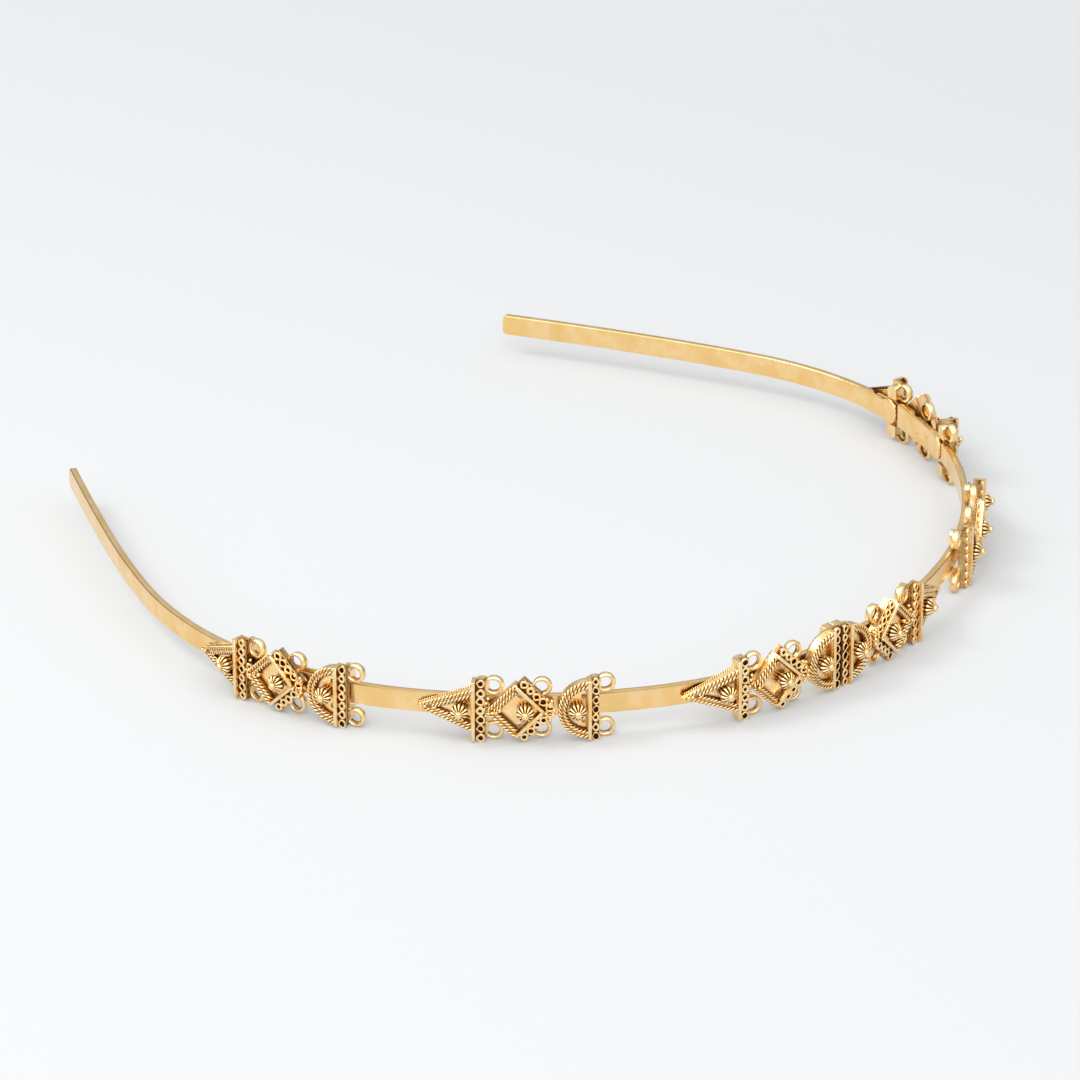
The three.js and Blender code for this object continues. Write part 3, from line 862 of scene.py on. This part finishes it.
rosette = {
    "ribs": 12, "groove": 0.34, "crestShape": 0.8, "pointsPerRib": 10, "sections": 24,
    "knob": 0.64, "knobAt": 4.66, "knobFlat": 0.75, "knobShade": 0.74, "knobShadeAt": 4.33,
    "grooveShade": 2.0, "crestTone": -0.2,
    "footShade": 0.6, "foot": (3.0, 0.8),  # painted shade below this height, growing over this much
    "profile": [  # out, radius, how deep the grooves are
        (1.9, 1.00, 0.3), (2.4, 1.18, 0.5), (2.9, 1.44, 0.8), (3.3, 1.58, 1.0), (3.55, 1.60, 1.0),
        (3.8, 1.52, 1.0), (4.02, 1.34, 1.0), (4.2, 1.1, 1.0), (4.33, 0.86, 0.9), (4.42, 0.6, 0.6),
        (4.46, 0.35, 0.2),
    ],
}


def rosetteWork(side):
    # a ribbed bud with a flattened knob, with painted shade in the grooves and at the foot
    work = Metalwork(side)
    ribs, (footAt, footSpread) = rosette["ribs"], rosette["foot"]
    around = ribs * rosette["pointsPerRib"]
    turn = np.arange(around) * 2 * math.pi / around
    crest = np.abs(np.cos(turn * ribs / 2)) ** rosette["crestShape"]  # 1 on a rib, 0 in a groove
    profile = np.array(rosette["profile"])
    spread = np.linspace(0, len(profile) - 1, rosette["sections"])
    out, radius, strength = (np.interp(spread, np.arange(len(profile)), v) for v in profile.T)
    slope = np.c_[np.gradient(out), -np.gradient(radius)]
    slope /= np.linalg.norm(slope, axis=1)[:, None]
    sections, tones = [], []
    for w, r, deep, (awayR, awayW) in zip(out, radius, strength, slope):
        dip = rosette["groove"] * deep * (1 - crest)
        radii = r - dip * awayR
        sections.append(np.c_[radii * np.cos(turn), radii * np.sin(turn), w - dip * awayW])
        low = rosette["footShade"] * smooth((footAt - w) / footSpread)
        tones.append(np.clip((1 - crest) * rosette["grooveShade"] + rosette["crestTone"] + low, 0, 1))
    work.grid(sections, tones)
    ball(work, (0, 0, rosette["knobAt"]), rosette["knob"], sides=20, flat=rosette["knobFlat"])
    # a dark disc of painted shade round the knob's foot
    disc(work, ellipse((0, 0), rosette["knobShade"], rosette["knobShade"], sides=20), rosette["knobShadeAt"])
    return work


# Seating of the ornaments on the band: where each group's middle diamond sits on either half
groups = [("centre", 13.35, 13.35), ("front", 56.3, 57.6), ("side", 99.8, 99.8)]
kinds = {  # bar's distance from the diamond's seat, seat ahead of the bar, boss ahead of the bar
    "triangle": (7.75, 3, 2.3),
    "diamond": (0, 0, -0.85),
    "half_round": (-11.4, 1, 2.1),
}
handSet = {  # soldered on by eye: shift away from the middle, upwards and outwards
    "triangle_centre_left": (-0.35, 0, 0.2),
    "diamond_centre_left": (-0.25, 0, 0.3),
    "half_round_centre_left": (-0.05, 0.1, 0.2),
    "half_round_centre_right": (0.2, -0.1, 0.2),
    "diamond_centre_right": (0.4, 0, 0.3),
    "triangle_centre_right": (0.6, 0, 0.3),
    "triangle_front_left": (-0.2, 0, 0),
    "half_round_front_right": (0.1, 0, 0.3),
    "diamond_front_right": (0.1, 0, 0.3),
    "triangle_front_right": (0, 0, 0.3),
    "half_round_side_left": (-0.2, 0, 0),
    "triangle_side_right": (0.5, 0, 0),
    "diamond_side_right": (0.5, 0, 0),
    "half_round_side_right": (0.6, 0, 0),
}


def seated(side, barAt, seatShift, ahead, drift):
    # carries points along, up and out of one ornament to their place on the band
    x, y, turn = station(side * (barAt + seatShift))
    tangent = np.array([math.cos(turn), math.sin(turn), 0])
    outwards = np.array([math.sin(turn), -math.cos(turn), 0])
    upwards = np.array([0, 0, 1])
    moveAlong, moveUp, moveOut = drift
    base = (np.array([x, y, moveUp]) + side * (moveAlong + ahead - seatShift) * tangent
            + moveOut * outwards + toModel)

    def toWorld(points):
        return base + points[:, :1] * tangent + points[:, 1:2] * upwards + points[:, 2:] * outwards

    return toWorld


def makeOrnaments():
    builders = {"triangle": triangleBox, "diamond": diamondBox, "half_round": halfRoundBox}
    styles = {"triangle": "triangle", "diamond": "diamond", "half_round": "halfRound"}
    for group, rightAt, leftAt in groups:
        for side, hand, middle in ((1, "right", rightAt), (-1, "left", leftAt)):
            for kind, (barFrom, seatShift, ahead) in kinds.items():
                node = f"{kind}_{group}_{hand}"
                style = "centrePair" if (kind, group) == ("half_round", "centre") else styles[kind]
                drift = handSet.get(node, (0, 0, 0))
                place = [side, middle + barFrom, seatShift]
                makePiece(node + "_box", builders[kind](side, style), seated(*place, 0, drift),
                          wireGold, node, sharpEdge)
                makePiece(node + "_rosette", rosetteWork(side), seated(*place, ahead, drift),
                          wireGold, node + "_boss", sharpEdge)


makeOrnaments()
print("ornaments made")

stage = {
    "size": 3.0,
    "floor": (0.532, 0.533, 0.531),
    "roughness": 0.9,
    # the floor's glow is painted light that lifts the shadows on it
    "glow": (1.0, 0.985, 0.95),
    "glowStrength": 0.2,
    "away": (1.8, 0.86, 0.0),
    "fading": [(0.1, 0.87), (0.5, 0.855), (0.95, 0.785)],  # painted fall-off of light: the floor darkens with distance
    "heights": [  # brightness of the studio by the height of the direction
        (0.0, 0.5), (0.06, 0.2), (0.2, 0.3), (0.36, 0.55), (0.6, 0.75), (0.8, 1.15), (1.0, 1.3),
    ],
    "front": (-0.7, -0.7, 0.0),
    "sides": [(0.0, 0.95), (0.3, 0.7), (0.65, 1.4), (1.0, 2.3)],  # from the far side to the front
    "tint": (0.93, 0.96, 1.0),
    "strength": 1.24,
}


def faded(color, stops):
    # a ramp's stops: the colour at each place times its brightness there
    return [(at, tuple(c * bright for c in color)) for at, bright in stops]


def makeFloor():
    mesh = bpy.data.meshes.new("floor")
    s = stage["size"]
    mesh.from_pydata([(-s, -s, 0), (s, -s, 0), (s, s, 0), (-s, s, 0)], [], [(0, 1, 2, 3)])
    floor = bpy.data.objects.new("floor", mesh)
    bpy.context.scene.collection.objects.link(floor)
    material = bpy.data.materials.new("paleFloor")
    n = Nodes(material)
    place = n.add("ShaderNodeTexCoord", output=3)
    distance = n.dot(place, stage["away"]) + 0.5
    n.connect(n.shader, {
        "Base Color": n.ramp(distance, *faded(stage["floor"], stage["fading"])),
        "Roughness": stage["roughness"],
        "Emission Color": n.ramp(distance, *faded(stage["glow"], stage["fading"])),
        "Emission Strength": stage["glowStrength"],
    })
    mesh.materials.append(material)


def makeStudio():
    world = bpy.data.worlds.new("studio")
    bpy.context.scene.world = world
    n = Nodes(world)
    direction = n.add("ShaderNodeTexCoord")
    height = n.add("ShaderNodeSeparateXYZ", {}, {0: direction}, 2)
    facing = n.dot(direction, stage["front"]) * 0.5 + 0.5
    color = n.add("ShaderNodeMix", {"data_type": "RGBA", "blend_type": "MULTIPLY"}, {
        0: 1.0,
        6: n.ramp(height, *faded(stage["tint"], stage["heights"])),
        7: n.ramp(facing, *faded((1.0, 1.0, 1.0), stage["sides"])),
    }, 2)
    n.connect(n.shader, {"Color": color, "Strength": stage["strength"]})


lamps = [  # name, place in metres, size, energy, colour
    ("keyLight", (-0.55, 0.6, 1.0), 0.45, 5.3, (1.0, 0.98, 0.95)),
    ("fillLight", (-0.75, -0.45, 0.75), 0.6, 2.2, (0.97, 0.98, 1.0)),
]


def makeLamps():
    for name, place, size, energy, color in lamps:
        light = bpy.data.lights.new(name, "AREA")
        light.size, light.energy, light.color = size, energy, color
        lamp = bpy.data.objects.new(name, light)
        lamp.location = place
        lamp.rotation_euler = (Vector((0, 0, 0)) - Vector(place)).to_track_quat("-Z", "Y").to_euler()
        bpy.context.scene.collection.objects.link(lamp)


view = {  # in millimetres; clip in metres
    "target": (-4.10, 0.594, 3.2), "camera": (-755.13, -773.75, 528.95),
    "lens": 225.8, "sensor": 36, "clip": (0.05, 10),
}


def makeCamera():
    data = bpy.data.cameras.new("camera")
    data.lens, data.sensor_width = view["lens"], view["sensor"]
    data.clip_start, data.clip_end = view["clip"]
    camera = bpy.data.objects.new("camera", data)
    place, target = Vector(view["camera"]) * mm, Vector(view["target"]) * mm
    camera.location = place
    camera.rotation_euler = (target - place).to_track_quat("-Z", "Y").to_euler()
    bpy.context.scene.collection.objects.link(camera)
    bpy.context.scene.camera = camera


makeFloor()
makeStudio()
makeLamps()
makeCamera()
bpy.context.scene.view_settings.view_transform = "Standard"
print("stage, lights and camera made")
